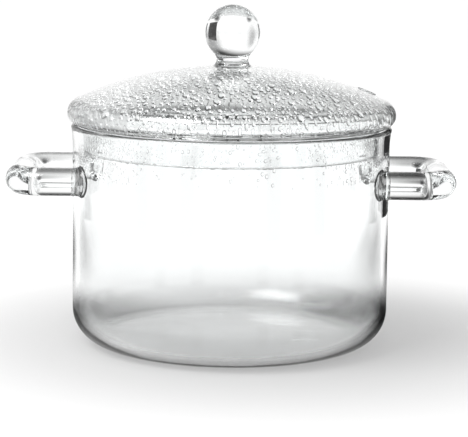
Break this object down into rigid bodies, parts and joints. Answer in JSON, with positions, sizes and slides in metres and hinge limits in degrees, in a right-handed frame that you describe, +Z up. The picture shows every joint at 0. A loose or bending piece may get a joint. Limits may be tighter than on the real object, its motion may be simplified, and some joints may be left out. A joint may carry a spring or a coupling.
{
  "type": "glass saucepan",
  "caption": "All-glass saucepan: straight blown body with flat base, side loop handles of solid rod, and a lift-off domed lid with ball knob, locating skirt and steam vent.",
  "frame": {"origin": "centre of the base, on the surface the pot stands on; the pot's axis is Z", "axes": "+X towards the right handle (the loops lie along X), +Y away from the front, +Z up through the lid's knob"},
  "size_m": [0.224, 0.1656, 0.171],
  "materials": {
    "body_glass": "clear blown borosilicate glass, 3 mm wall, fire-polished",
    "rod_glass": "clear solid borosilicate rod, fire-polished",
    "lid_glass": "clear blown borosilicate glass, 2.5 mm wall, fire-polished, with fine condensation inside",
    "knob_glass": "clear solid borosilicate ball, fire-polished"
  },
  "bodies": {
    "pot": {"pot_body": "body_glass", "handle_left": "rod_glass", "handle_right": "rod_glass"},
    "lid": {"lid_shell": "lid_glass", "lid_knob": "knob_glass"}
  },
  "joints": [
    {"name": "lid_lift", "type": "slide", "parent": "pot", "child": "lid", "axis": [0, 0, 1], "range_m": [0, 0.12]}
  ]
}
